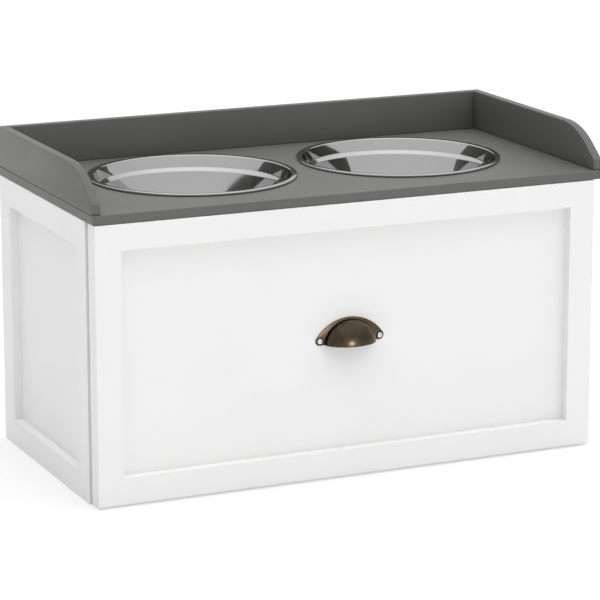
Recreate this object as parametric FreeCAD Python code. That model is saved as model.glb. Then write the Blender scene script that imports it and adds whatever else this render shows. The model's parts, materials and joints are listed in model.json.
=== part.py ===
import FreeCAD, Part
import math
import os

Vector = FreeCAD.Vector

# An elevated feeder: a cabinet with one wide drawer on rollers, under a tray top that holds two bowls.
# Millimetres. +X is to the right, +Y to the rear, +Z up.
# The origin is at the middle of the whole object's footprint, on the floor.

# Top board and its upstands
BOARD_WIDTH = 600.0
BOARD_DEPTH = 300.0
BOARD_THICKNESS = 10.0
BOARD_EDGE_ROUND = 1.0
UPSTAND_HEIGHT = 45.0
UPSTAND_THICKNESS = 10.0
UPSTAND_SETBACK = 2.2
UPSTAND_NOSE_HEIGHT = 11.5
UPSTAND_CURVE_RADIUS = 90.0
UPSTAND_SLOPE_DEGREES = 37.6
UPSTAND_EDGE_ROUND = 1.0

# Cabinet
CABINET_HEIGHT = 305.0
SIDE_SHEET_THICKNESS = 10.0
SIDE_STRIP_THICKNESS = 10.0
SIDE_STILE_WIDTH = 32.0
SIDE_RAIL_WIDTH = 30.0
SIDE_REAR_INSET = 3.0
BACK_THICKNESS = 15.0
BASE_THICKNESS = 15.0
BASE_LIFT = 8.0
STRIP_EDGE_ROUND = 0.6

# Drawer front
FRONT_SHEET_THICKNESS = 10.0
FRONT_STRIP_THICKNESS = 10.0
FRONT_STILE_WIDTH = 29.4
FRONT_RAIL_WIDTH = 29.6
FRONT_TOP_RAIL_WIDTH = 28.3
FRONT_REVEAL_LEFT = 2.0
FRONT_REVEAL_RIGHT = 10.0
FRONT_FLOOR_GAP = 2.4
FRONT_BOARD_GAP = 0.6
FRONT_SIDE_GAP = 4.0

# Bowls: as wide as the board has room for inside these margins
BOWL_FRONT_MARGIN = 42.0
BOWL_REAR_MARGIN = 15.8
BOWL_SIDE_MARGIN = 49.5
BOWL_GAP = 21.0
RIM_WIDTH = 4.6
RIM_HEIGHT = 3.6
RIM_SEAT_GAP = 0.25
BOWL_WALL = 0.8
BOWL_DEPTH = 58.0
BOWL_BAND_DEPTH = 11.0
BOWL_BAND_INSET = 5.0
BOWL_STEP = 3.6
BOWL_TAPER = 12.0
BOWL_BEND_RADIUS = 1.7
BOWL_STEP_RADIUS = 3.0
BOWL_FOOT_RADIUS = 14.0
BOWL_HOLE_CLEARANCE = 0.8

# Drawer box
BOX_WALL = 12.0
BOX_BOTTOM_THICKNESS = 5.0
BOX_BOTTOM_LIFT = 8.0
BOX_GROOVE_DEPTH = 5.0
BOX_GROOVE_CLEARANCE = 0.15
BOX_BASE_CLEARANCE = 8.0
BOX_BOWL_CLEARANCE = 8.0
BOX_REAR_CLEARANCE = 12.0
BOX_EDGE_ROUND = 1.5

# Runners and rollers
SLIDE_GAP = 12.5
RUNNER_SHEET = 1.2
RUNNER_BEND_RADIUS = 1.8
RUNNER_FRONT_INSET = 2.0
RUNNER_REAR_CLEARANCE = 6.0
CHANNEL_HEIGHT = 15.0
CHANNEL_LIFT = 2.0
CHANNEL_WEB_CLEARANCE = 1.1
RUNNER_FLANGE_REACH = 9.0
RUNNER_FLANGE_CLEARANCE = 0.8
STOP_HEIGHT = 3.0
STOP_GAP = 0.3
TRAVEL_SHARE = 0.74
CABINET_ROLLER_RADIUS = 8.0
ROLLER_EDGE_ROUND = 0.8
ROLLER_SEAT_GAP = 0.1
ROLLER_TOP_GAP = 0.4
ROLLER_END_PLAY = 0.1
ROLLER_MARGIN = 1.5
AXLE_RADIUS = 2.0
AXLE_FIT = 0.05
AXLE_HEAD_RADIUS = 3.4
AXLE_HEAD_HEIGHT = 0.9
AXLE_HEAD_CLEARANCE = 0.8
CABINET_COLLAR = 2.0
DRAWER_COLLAR = 0.9

# Cup pull
PULL_SCREW_SPACING = 71.2
PULL_EAR_RADIUS = 4.9
PULL_ARCH_HEIGHT = 23.7
PULL_FLANGE_THICKNESS = 1.2
PULL_DOME_WIDTH = 60.4
PULL_DOME_HEIGHT = 26.2
PULL_PROJECTION = 22.0
PULL_DOME_THICKNESS = 1.2
PULL_FLANGE_ROUND = 0.4

# Fasteners
WOOD_FIT = 0.05
SCREW_RADIUS = 1.5
UPSTAND_SCREW_RADIUS = 1.75
UPSTAND_SCREW_BITE = 24.0
BOX_SCREW_BITE = 24.0
FRONT_SCREW_BITE = 7.0
RUNNER_SCREW_BITE = 8.0
PULL_SCREW_BITE = 12.0
SUNK_HEAD_RADIUS = 3.4
SUNK_HEAD_HEIGHT = 2.2
PAN_HEAD_RADIUS = 3.0
PAN_HEAD_HEIGHT = 1.4
RECESS_WIDTH = 0.9
RECESS_LENGTH = 3.4
RECESS_DEPTH = 0.8
CAM_RADIUS = 7.5
CAM_HEIGHT = 9.0
CAM_INSET = 20.0
CAM_SINK = 0.2
CAM_FIT = 0.1
CAM_RECESS_WIDTH = 1.8
CAM_RECESS_LENGTH = 8.0
CAM_RECESS_DEPTH = 2.0
BOLT_DEPTH = 5.0
BOLT_RADIUS = 3.0
BOLT_HEAD_OFFSET = 2.4
BOLT_HEAD_RADIUS = 2.8
BOLT_HEAD_LENGTH = 2.4
BOLT_NECK_RADIUS = 1.6
BOLT_NECK_LENGTH = 4.0
THREAD_RADIUS = 2.5
THREAD_LENGTH = 7.0
DOWEL_RADIUS = 3.0
DOWEL_SHORT_END = 7.0
DOWEL_LONG_END = 20.0
DOWEL_CHAMFER = 0.6

# Places along a length, as shares of it
CAM_DEPTH_SHARES = (0.16, 0.8)
BASE_DOWEL_DEPTH_SHARES = (0.36, 0.6)
TOP_DOWEL_DEPTH_SHARES = (0.36, 0.6)
BACK_CAM_HEIGHT_SHARES = (0.27, 0.8)
BACK_DOWEL_HEIGHT_SHARE = 0.53
SIDE_UPSTAND_SCREW_SHARES = (0.24, 0.5, 0.88)
BACK_UPSTAND_SCREW_SHARES = (0.08, 0.36, 0.64, 0.92)
CABINET_RUNNER_SCREW_SHARES = (0.3, 0.56, 0.85)
DRAWER_RUNNER_SCREW_SHARES = (0.12, 0.5, 0.88)
BOX_SCREW_HEIGHT_SHARES = (0.3, 0.8)
FRONT_SCREW_WIDTH_SHARES = (-0.8, -0.3, 0.3, 0.8)
FRONT_SCREW_HEIGHT_SHARES = (0.25, 0.82)
RUNNER_SCREW_EDGE_SHARE = 0.375

# Shares of a radius
SCREW_TIP_SHARE = 0.25

CUT_OVERRUN = 2.0

# Planes of the frame
pull_stand_out = PULL_PROJECTION - FRONT_STRIP_THICKNESS
front_y = (pull_stand_out - BOARD_DEPTH) / 2
rear_y = front_y + BOARD_DEPTH
right_x = BOARD_WIDTH / 2
left_x = -right_x
top_z = CABINET_HEIGHT + BOARD_THICKNESS

# Drawer front
front_left_x = left_x + FRONT_REVEAL_LEFT
front_right_x = right_x - FRONT_REVEAL_RIGHT
front_width = front_right_x - front_left_x
front_height = CABINET_HEIGHT - FRONT_FLOOR_GAP - FRONT_BOARD_GAP
front_sheet_y = front_y + FRONT_STRIP_THICKNESS
front_back_y = front_sheet_y + FRONT_SHEET_THICKNESS
pull_x = (front_left_x + front_right_x) / 2
pull_z = FRONT_FLOOR_GAP + front_height / 2

# Cabinet
side_front_y = front_back_y + FRONT_SIDE_GAP
side_rear_y = rear_y - SIDE_REAR_INSET
side_depth = side_rear_y - side_front_y
inner_x = right_x - SIDE_STRIP_THICKNESS - SIDE_SHEET_THICKNESS
back_y = side_rear_y - BACK_THICKNESS
base_z = BASE_LIFT + BASE_THICKNESS

# Upstands
upstand_front_y = front_y + UPSTAND_SETBACK
upstand_rear_y = rear_y - UPSTAND_SETBACK
upstand_back_y = upstand_rear_y - UPSTAND_THICKNESS
upstand_inner_x = right_x - UPSTAND_THICKNESS

# Bowls
bowl_room_depth = upstand_back_y - front_y - BOWL_FRONT_MARGIN - BOWL_REAR_MARGIN
bowl_room_width = upstand_inner_x - BOWL_SIDE_MARGIN - BOWL_GAP / 2
rim_radius = min(bowl_room_depth, bowl_room_width) / 2
bowl_y = upstand_back_y - BOWL_REAR_MARGIN - rim_radius
bowl_x = rim_radius + BOWL_GAP / 2
bowl_neck_radius = rim_radius - RIM_WIDTH
bowl_hole_radius = bowl_neck_radius + BOWL_WALL + BOWL_HOLE_CLEARANCE
bowl_bottom_z = top_z - BOWL_DEPTH - BOWL_WALL

# Drawer box
box_outer_x = inner_x - SLIDE_GAP
box_inner_x = box_outer_x - BOX_WALL
box_length = back_y - front_back_y - BOX_REAR_CLEARANCE
box_rear_y = front_back_y + box_length
box_bottom_z = base_z + BOX_BASE_CLEARANCE
box_top_z = bowl_bottom_z - BOX_BOWL_CLEARANCE

# Runners, seen on the left: depths are taken from the side's inner face towards the drawer
runner_front_y = side_front_y + RUNNER_FRONT_INSET
runner_rear_y = back_y - RUNNER_REAR_CLEARANCE
drawer_web = SLIDE_GAP - RUNNER_SHEET
channel_reach = drawer_web - CHANNEL_WEB_CLEARANCE
channel_bottom_z = box_bottom_z + CHANNEL_LIFT
channel_floor_z = channel_bottom_z + RUNNER_SHEET
channel_top_z = channel_floor_z + CHANNEL_HEIGHT + RUNNER_SHEET
flange_z = channel_top_z + RUNNER_FLANGE_CLEARANCE
axle_stack = 2 * ROLLER_END_PLAY + AXLE_HEAD_HEIGHT
roller_width = drawer_web - RUNNER_SHEET - CABINET_COLLAR - axle_stack - AXLE_HEAD_CLEARANCE
drawer_roller_radius = (CHANNEL_HEIGHT - ROLLER_SEAT_GAP - ROLLER_TOP_GAP) / 2
cabinet_roller_y = runner_front_y + CABINET_ROLLER_RADIUS + ROLLER_MARGIN
cabinet_roller_z = flange_z - ROLLER_SEAT_GAP - CABINET_ROLLER_RADIUS
channel_front_y = cabinet_roller_y + CABINET_ROLLER_RADIUS + ROLLER_MARGIN
drawer_roller_y = box_rear_y - drawer_roller_radius - ROLLER_MARGIN
drawer_roller_z = channel_floor_z + ROLLER_SEAT_GAP + drawer_roller_radius
drawer_travel = TRAVEL_SHARE * box_length


def block(x0, x1, y0, y1, z0, z1):
    return Part.makeBox(x1 - x0, y1 - y0, z1 - z0, Vector(x0, y0, z0))


def aim(shape, point, direction):
    """Turns a shape that was made along +Z to a direction and moves its origin to a point."""
    turned = shape.copy()
    turned.Placement = FreeCAD.Placement(point, FreeCAD.Rotation(Vector(0, 0, 1), direction))
    return turned


def drill(radius, length, point, direction):
    return Part.makeCylinder(radius, length, point, direction)


def mirrored(shape):
    """The same piece on the other side of the middle plane."""
    return shape.mirror(Vector(0, 0, 0), Vector(1, 0, 0))


def is_along(edge, axis):
    """True for a straight edge that runs along an axis."""
    if len(edge.Vertexes) != 2:
        return False
    run = edge.Vertexes[1].Point.sub(edge.Vertexes[0].Point)
    return abs(abs(run.dot(axis)) - edge.Length) < edge.Length / 1000


def rounded(shape, radius, wanted):
    """Rounds the edges that a test on the edge's middle picks."""
    edges = [edge for edge in shape.Edges if wanted(edge, edge.BoundBox.Center)]
    return shape.makeFillet(radius, edges)


def rounded_outline(points, radii):
    """A closed outline of straight runs, with a tangent arc at each point whose radius isn't zero."""
    count = len(points)
    starts, ends, middles = [], [], []
    for index, point in enumerate(points):
        back = (points[index - 1] - point).normalize()
        ahead = (points[(index + 1) % count] - point).normalize()
        half = back.getAngle(ahead) / 2
        reach = radii[index] / math.tan(half)
        starts.append(point + back * reach)
        ends.append(point + ahead * reach)
        bisector = (back + ahead).normalize()
        middles.append(point + bisector * (radii[index] / math.sin(half) - radii[index]))
    edges = []
    for index in range(count):
        if radii[index] > 0:
            edges.append(Part.Arc(starts[index], middles[index], ends[index]).toShape())
        following = (index + 1) % count
        if ends[index].distanceToPoint(starts[following]) > 0:
            edges.append(Part.LineSegment(ends[index], starts[following]).toShape())
    return Part.Face(Part.Wire(edges))


def beside(points, distance):
    """The points of an open path in the XZ plane, moved sideways to the left of its run."""
    side_points = []
    last = len(points) - 1
    for index, point in enumerate(points):
        before = (points[max(index, 1)] - points[max(index, 1) - 1]).normalize()
        after = (points[min(index + 1, last)] - points[min(index, last - 1)]).normalize()
        left_before = Vector(-before.z, 0, before.x)
        left_after = Vector(-after.z, 0, after.x)
        across = left_before + left_after
        side_points.append(point + across * (2 * distance / across.dot(across)))
    return side_points


def folded_sheet(points, radii, thickness):
    """A folded sheet's section: the path given, and the same path one thickness to its left."""
    far_side = beside(points, thickness)
    far_radii = []
    for index, radius in enumerate(radii):
        if index in (0, len(radii) - 1):
            far_radii.append(0)
            continue
        before = points[index] - points[index - 1]
        after = points[index + 1] - points[index]
        left_turn = before.cross(after).y < 0
        far_radii.append(max(radius - thickness, 0) if left_turn else radius + thickness)
    return rounded_outline(points + far_side[::-1], radii + far_radii[::-1])


class Screw:
    """A wood screw along +Z, with its seat at the origin and a cross recess in its head."""

    def __init__(self, radius, head_radius, head_height, length, sunk):
        self.radius = radius
        self.head_radius = head_radius
        self.head_height = head_height
        self.length = length
        self.sunk = sunk

    def solid(self, point, direction):
        shank = Part.makeCylinder(self.radius, self.length - self.radius)
        tip_start = Vector(0, 0, self.length - self.radius)
        tip = Part.makeCone(self.radius, SCREW_TIP_SHARE * self.radius, self.radius, tip_start)
        shape = shank.fuse([tip, self.head(0)])
        head_top = 0 if self.sunk else -self.head_height
        for long_x, long_y in ((RECESS_LENGTH, RECESS_WIDTH), (RECESS_WIDTH, RECESS_LENGTH)):
            corner = Vector(-long_x / 2, -long_y / 2, head_top - CUT_OVERRUN)
            shape = shape.cut(Part.makeBox(long_x, long_y, RECESS_DEPTH + CUT_OVERRUN, corner))
        return aim(shape.removeSplitter(), point, direction)

    def head(self, grow):
        if self.sunk:
            return Part.makeCone(self.head_radius + grow, self.radius + grow, self.head_height)
        head = Part.makeCylinder(self.head_radius, self.head_height, Vector(0, 0, -self.head_height))
        top_edge = min(head.Edges, key=lambda edge: edge.BoundBox.Center.z)
        return head.makeFillet(self.head_height / 2, [top_edge])

    def hole(self, point, direction):
        hole = Part.makeCylinder(self.radius + WOOD_FIT, self.length + WOOD_FIT)
        if self.sunk:
            hole = hole.fuse(self.head(WOOD_FIT))
        return aim(hole, point, direction)


upstand_screw = Screw(
    UPSTAND_SCREW_RADIUS, SUNK_HEAD_RADIUS, SUNK_HEAD_HEIGHT, BOARD_THICKNESS + UPSTAND_SCREW_BITE, True
)
box_screw = Screw(
    UPSTAND_SCREW_RADIUS, SUNK_HEAD_RADIUS, SUNK_HEAD_HEIGHT, BOX_WALL + BOX_SCREW_BITE, True
)
front_screw = Screw(
    SCREW_RADIUS, PAN_HEAD_RADIUS, PAN_HEAD_HEIGHT, BOX_WALL + FRONT_SCREW_BITE, False
)
runner_screw = Screw(
    SCREW_RADIUS, PAN_HEAD_RADIUS, PAN_HEAD_HEIGHT, RUNNER_SHEET + RUNNER_SCREW_BITE, False
)
pull_screw = Screw(
    SCREW_RADIUS, PAN_HEAD_RADIUS, PAN_HEAD_HEIGHT, PULL_FLANGE_THICKNESS + PULL_SCREW_BITE, False
)


def placed_screws(screw, places):
    solids = [screw.solid(point, direction) for point, direction in places]
    holes = [screw.hole(point, direction) for point, direction in places]
    return solids, holes


def cam_place(face_point, normal, toward):
    """One cam lock and its bolt: solids, and the cuts in the locked panel and in the panel it pulls to."""
    inward = normal * -1
    cam_start = face_point + inward * CAM_SINK
    axis_point = face_point + inward * BOLT_DEPTH
    cam = drill(CAM_RADIUS, CAM_HEIGHT, cam_start, inward)
    cam = cam.cut(drill(BOLT_RADIUS + CAM_FIT, CAM_RADIUS + CUT_OVERRUN, axis_point, toward))
    across = normal.cross(toward)
    for along, wide in ((toward, across), (across, toward)):
        corner = cam_start - along * (CAM_RECESS_LENGTH / 2) - wide * (CAM_RECESS_WIDTH / 2)
        far = corner + along * CAM_RECESS_LENGTH + wide * CAM_RECESS_WIDTH + inward * CAM_RECESS_DEPTH
        box = FreeCAD.BoundBox(*corner, *corner)
        box.add(far)
        size = (box.XLength, box.YLength, box.ZLength)
        cam = cam.cut(Part.makeBox(*size, Vector(box.XMin, box.YMin, box.ZMin)))
    head_start = axis_point + toward * BOLT_HEAD_OFFSET
    neck_start = head_start + toward * BOLT_HEAD_LENGTH
    shaft_start = neck_start + toward * BOLT_NECK_LENGTH
    edge = axis_point + toward * CAM_INSET
    bolt = drill(BOLT_HEAD_RADIUS, BOLT_HEAD_LENGTH, head_start, toward).fuse([
        drill(BOLT_NECK_RADIUS, BOLT_NECK_LENGTH, neck_start, toward),
        drill(BOLT_RADIUS, shaft_start.distanceToPoint(edge), shaft_start, toward),
        drill(THREAD_RADIUS, THREAD_LENGTH, edge, toward),
    ])
    pocket = drill(CAM_RADIUS + CAM_FIT, CAM_HEIGHT + CAM_SINK + CAM_FIT, face_point, inward)
    panel_cut = pocket.fuse(drill(BOLT_RADIUS + WOOD_FIT, CAM_INSET, axis_point, toward))
    mate_cut = drill(THREAD_RADIUS + WOOD_FIT, THREAD_LENGTH + WOOD_FIT, edge, toward)
    return cam, bolt, panel_cut, mate_cut


def dowel_place(joint_point, toward):
    """A dowel across a joint: its short end in the panel ahead, its long end in the panel behind."""
    start = joint_point - toward * DOWEL_LONG_END
    length = DOWEL_LONG_END + DOWEL_SHORT_END
    dowel = drill(DOWEL_RADIUS, length, start, toward)
    ends = [edge for edge in dowel.Edges if not is_along(edge, toward)]
    hole_start = start - toward * WOOD_FIT
    hole = drill(DOWEL_RADIUS + WOOD_FIT, length + 2 * WOOD_FIT, hole_start, toward)
    return dowel.makeChamfer(DOWEL_CHAMFER, ends), hole


def carcase_joints():
    """Cams and dowels that hold the base, the back and the top board to the sides."""
    cams, bolts, dowels = [], [], []
    cuts = {name: [] for name in ("base", "back", "side", "top")}
    up = Vector(0, 0, 1)
    for hand in (-1, 1):
        outward = Vector(hand, 0, 0)
        places = []
        for share in CAM_DEPTH_SHARES:
            y = side_front_y + share * side_depth
            base_point = Vector(hand * (inner_x - CAM_INSET), y, BASE_LIFT)
            places.append((base_point, Vector(0, 0, -1), outward, "base", "side"))
            side_point = Vector(hand * inner_x, y, CABINET_HEIGHT - CAM_INSET)
            places.append((side_point, outward * -1, up, "side", "top"))
        for share in BACK_CAM_HEIGHT_SHARES:
            back_point = Vector(hand * (inner_x - CAM_INSET), back_y, share * CABINET_HEIGHT)
            places.append((back_point, Vector(0, -1, 0), outward, "back", "side"))
        for point, normal, toward, panel, mate in places:
            cam, bolt, panel_cut, mate_cut = cam_place(point, normal, toward)
            cams.append(cam)
            bolts.append(bolt)
            cuts[panel].append(panel_cut)
            cuts[mate].append(mate_cut)
        joints = []
        for share in BASE_DOWEL_DEPTH_SHARES:
            y = side_front_y + share * side_depth
            base_joint = Vector(hand * inner_x, y, BASE_LIFT + BASE_THICKNESS / 2)
            joints.append((base_joint, outward, "base", "side"))
        for share in TOP_DOWEL_DEPTH_SHARES:
            y = side_front_y + share * side_depth
            x = hand * (inner_x + SIDE_SHEET_THICKNESS / 2)
            joints.append((Vector(x, y, CABINET_HEIGHT), up, "side", "top"))
        back_dowel_z = BACK_DOWEL_HEIGHT_SHARE * CABINET_HEIGHT
        back_joint = Vector(hand * inner_x, back_y + BACK_THICKNESS / 2, back_dowel_z)
        joints.append((back_joint, outward, "back", "side"))
        for point, toward, panel, mate in joints:
            dowel, hole = dowel_place(point, toward)
            dowels.append(dowel)
            cuts[panel].append(hole)
            cuts[mate].append(hole)
    return cams, bolts, dowels, cuts


def upstand_screw_places():
    """Screws that come up through the board into the middle of each upstand."""
    up = Vector(0, 0, 1)
    places = []
    for hand in (-1, 1):
        x = hand * (right_x - UPSTAND_THICKNESS / 2)
        for share in SIDE_UPSTAND_SCREW_SHARES:
            y = upstand_front_y + share * (upstand_rear_y - upstand_front_y)
            places.append((Vector(x, y, CABINET_HEIGHT), up))
    for share in BACK_UPSTAND_SCREW_SHARES:
        x = -upstand_inner_x + share * 2 * upstand_inner_x
        places.append((Vector(x, upstand_rear_y - UPSTAND_THICKNESS / 2, CABINET_HEIGHT), up))
    return places


def top_board(cuts):
    board = block(left_x, right_x, front_y, rear_y, CABINET_HEIGHT, top_z)
    board = board.makeFillet(BOARD_EDGE_ROUND, board.Edges)
    for hand in (-1, 1):
        start = Vector(hand * bowl_x, bowl_y, CABINET_HEIGHT - CUT_OVERRUN)
        hole_length = BOARD_THICKNESS + 2 * CUT_OVERRUN
        board = board.cut(drill(bowl_hole_radius, hole_length, start, Vector(0, 0, 1)))
    return board.cut(cuts)


def side_upstand(screw_holes):
    """The right upstand: a level top, a curve into a straight slope, and a short upright nose."""
    top = top_z + UPSTAND_HEIGHT
    slope = math.radians(UPSTAND_SLOPE_DEGREES)
    nose = Vector(upstand_inner_x, upstand_front_y, top_z + UPSTAND_NOSE_HEIGHT)
    bend = Vector(upstand_inner_x, nose.y + (top - nose.z) / math.tan(slope), top)
    front_foot = Vector(upstand_inner_x, upstand_front_y, top_z)
    rear_foot = Vector(upstand_inner_x, upstand_rear_y, top_z)
    rear_top = Vector(upstand_inner_x, upstand_rear_y, top)
    outline = rounded_outline(
        [front_foot, nose, bend, rear_top, rear_foot], [0, 0, UPSTAND_CURVE_RADIUS, 0, 0]
    )
    board = outline.extrude(Vector(UPSTAND_THICKNESS, 0, 0))
    across = Vector(1, 0, 0)
    board = rounded(
        board, UPSTAND_EDGE_ROUND, lambda edge, mid: mid.z > top_z and not is_along(edge, across)
    )
    return board.cut(screw_holes)


def back_upstand(screw_holes):
    top = top_z + UPSTAND_HEIGHT
    board = block(-upstand_inner_x, upstand_inner_x, upstand_back_y, upstand_rear_y, top_z, top)
    along = Vector(1, 0, 0)
    board = rounded(board, UPSTAND_EDGE_ROUND, lambda edge, mid: mid.z > top_z and is_along(edge, along))
    return board.cut(screw_holes)


def framed_panel(width, height, stile, low_rail, high_rail, strip, sheet):
    """A flat sheet with four strips on its face. The face looks along -Y, with a corner at the origin."""
    ring = Part.makeBox(width, strip, height)
    opening = block(stile, width - stile, -CUT_OVERRUN, strip + CUT_OVERRUN, low_rail, height - high_rail)
    ring = ring.cut(opening)
    ring = rounded(ring, STRIP_EDGE_ROUND, lambda edge, mid: mid.y < STRIP_EDGE_ROUND)
    regions = {
        "first_stile": (0, stile, 0, height),
        "last_stile": (width - stile, width, 0, height),
        "bottom_rail": (stile, width - stile, 0, low_rail),
        "top_rail": (stile, width - stile, height - high_rail, height),
    }
    pieces = {}
    for name, (x0, x1, z0, z1) in regions.items():
        pieces[name] = ring.common(block(x0, x1, 0, strip, z0, z1))
    pieces["sheet"] = block(0, width, strip, strip + sheet, 0, height)
    return pieces


def moved(shape, point, turn):
    """A copy turned about the vertical axis through the origin, then moved to a point."""
    copy = shape.copy()
    copy.Placement = FreeCAD.Placement(point, FreeCAD.Rotation(Vector(0, 0, 1), turn))
    return copy


def side_panels(cuts):
    """Both sides of the cabinet, each a sheet with a frame of strips on its outer face."""
    pieces = framed_panel(
        side_depth, CABINET_HEIGHT, SIDE_STILE_WIDTH, SIDE_RAIL_WIDTH, SIDE_RAIL_WIDTH,
        SIDE_STRIP_THICKNESS, SIDE_SHEET_THICKNESS,
    )
    stile_names = {
        "left": {"first_stile": "rear_stile", "last_stile": "front_stile"},
        "right": {"first_stile": "front_stile", "last_stile": "rear_stile"},
    }
    nodes = {}
    for name, shape in pieces.items():
        left = moved(shape, Vector(left_x, side_rear_y, 0), -90)
        right = moved(shape, Vector(right_x, side_front_y, 0), 90)
        if name == "sheet":
            left = left.cut(cuts)
            right = right.cut(cuts)
        nodes["left_side_" + stile_names["left"].get(name, name)] = left
        nodes["right_side_" + stile_names["right"].get(name, name)] = right
    return nodes


def drawer_front(sheet_cuts):
    pieces = framed_panel(
        front_width, front_height, FRONT_STILE_WIDTH, FRONT_RAIL_WIDTH, FRONT_TOP_RAIL_WIDTH,
        FRONT_STRIP_THICKNESS, FRONT_SHEET_THICKNESS,
    )
    names = {
        "first_stile": "front_left_stile",
        "last_stile": "front_right_stile",
        "bottom_rail": "front_bottom_rail",
        "top_rail": "front_top_rail",
        "sheet": "front_sheet",
    }
    corner = Vector(front_left_x, front_y, FRONT_FLOOR_GAP)
    nodes = {names[name]: moved(shape, corner, 0) for name, shape in pieces.items()}
    nodes["front_sheet"] = nodes["front_sheet"].cut(sheet_cuts)
    return nodes


def box_wall(x0, x1, y0, y1, along):
    """One wall of the drawer box, with its upper edges rounded along its length."""
    wall = block(x0, x1, y0, y1, box_bottom_z, box_top_z)
    return rounded(wall, BOX_EDGE_ROUND, lambda edge, mid: mid.z > box_bottom_z and is_along(edge, along))


def drawer_box(side_cuts, front_cuts):
    """Four walls butted together and a bottom that lies in a groove all round."""
    rear_wall_y = box_rear_y - BOX_WALL
    front_wall_y = front_back_y + BOX_WALL
    floor_z = box_bottom_z + BOX_BOTTOM_LIFT
    ceiling_z = floor_z + BOX_BOTTOM_THICKNESS
    gap = BOX_GROOVE_CLEARANCE
    reach = BOX_GROOVE_DEPTH
    groove = block(
        -box_inner_x - reach, box_inner_x + reach, front_wall_y - reach, rear_wall_y + reach,
        floor_z - gap, ceiling_z + gap,
    )
    bottom = block(
        -box_inner_x - reach + gap, box_inner_x + reach - gap, front_wall_y - reach + gap,
        rear_wall_y + reach - gap, floor_z, ceiling_z,
    )
    along_y = Vector(0, 1, 0)
    along_x = Vector(1, 0, 0)
    left = box_wall(-box_outer_x, -box_inner_x, front_back_y, box_rear_y, along_y)
    front = box_wall(-box_inner_x, box_inner_x, front_back_y, front_wall_y, along_x)
    back = box_wall(-box_inner_x, box_inner_x, rear_wall_y, box_rear_y, along_x)
    return {
        "box_side_left": left.cut([groove] + side_cuts),
        "box_side_right": mirrored(left).cut([groove] + side_cuts),
        "box_front": front.cut([groove] + side_cuts + front_cuts),
        "box_back": back.cut([groove] + side_cuts),
        "box_bottom": bottom,
    }


def box_screw_places():
    """Screws through the side walls into the ends of the front and back walls."""
    places = []
    for hand in (-1, 1):
        for y in (front_back_y + BOX_WALL / 2, box_rear_y - BOX_WALL / 2):
            for share in BOX_SCREW_HEIGHT_SHARES:
                z = box_bottom_z + share * (box_top_z - box_bottom_z)
                places.append((Vector(hand * box_outer_x, y, z), Vector(-hand, 0, 0)))
    return places


def front_screw_places():
    """Screws from inside the box, through its front wall into the drawer front's sheet."""
    places = []
    for width_share in FRONT_SCREW_WIDTH_SHARES:
        for height_share in FRONT_SCREW_HEIGHT_SHARES:
            z = box_bottom_z + height_share * (box_top_z - box_bottom_z)
            point = Vector(width_share * box_inner_x, front_back_y + BOX_WALL, z)
            places.append((point, Vector(0, -1, 0)))
    return places


def runner_screw_places():
    """Screws of the left runners: into the cabinet side, and up into the edge of the box side."""
    length = runner_rear_y - runner_front_y
    web_x = -inner_x + RUNNER_SHEET
    screw_z = channel_floor_z + CHANNEL_HEIGHT / 2
    cabinet = []
    for share in CABINET_RUNNER_SCREW_SHARES:
        cabinet.append((Vector(web_x, runner_front_y + share * length, screw_z), Vector(-1, 0, 0)))
    edge_x = -box_outer_x + RUNNER_SCREW_EDGE_SHARE * BOX_WALL
    drawer = []
    for share in DRAWER_RUNNER_SCREW_SHARES:
        y = front_back_y + share * box_length
        drawer.append((Vector(edge_x, y, box_bottom_z - RUNNER_SHEET), Vector(0, 0, 1)))
    return cabinet, drawer


def stop_tab(face_y, rearward):
    """A tab on the channel's floor that the drawer roller stops against."""
    far_y = face_y + rearward * RUNNER_SHEET
    low_y, high_y = sorted((face_y, far_y))
    x = -inner_x
    top = channel_floor_z + STOP_HEIGHT
    return block(x + RUNNER_SHEET / 2, x + channel_reach, low_y, high_y, channel_bottom_z, top)


def cabinet_runner(screw_holes):
    """Left runner on the cabinet: a channel for the drawer's roller, and a flat front end for its own."""
    x = -inner_x
    points = [
        Vector(x + channel_reach, 0, channel_top_z),
        Vector(x, 0, channel_top_z),
        Vector(x, 0, channel_bottom_z),
        Vector(x + channel_reach, 0, channel_bottom_z),
    ]
    section = folded_sheet(points, [0, RUNNER_BEND_RADIUS, RUNNER_BEND_RADIUS, 0], RUNNER_SHEET)
    section.translate(Vector(0, channel_front_y, 0))
    channel = section.extrude(Vector(0, runner_rear_y - channel_front_y, 0))
    low_z = channel_bottom_z + RUNNER_BEND_RADIUS
    high_z = channel_top_z - RUNNER_BEND_RADIUS
    nose = block(x, x + RUNNER_SHEET, runner_front_y, channel_front_y + CUT_OVERRUN, low_z, high_z)
    half_contact = math.sqrt(drawer_roller_radius ** 2 - (drawer_roller_radius - STOP_HEIGHT) ** 2)
    front_face = drawer_roller_y - drawer_travel - half_contact - STOP_GAP
    rear_face = drawer_roller_y + half_contact + STOP_GAP
    runner = channel.fuse([nose, stop_tab(front_face, -1), stop_tab(rear_face, 1)]).removeSplitter()
    axle_hole = drill(
        AXLE_RADIUS + AXLE_FIT, RUNNER_SHEET + 2 * CUT_OVERRUN,
        Vector(x - CUT_OVERRUN, cabinet_roller_y, cabinet_roller_z), Vector(1, 0, 0),
    )
    return runner.cut(screw_holes + [axle_hole])


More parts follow.
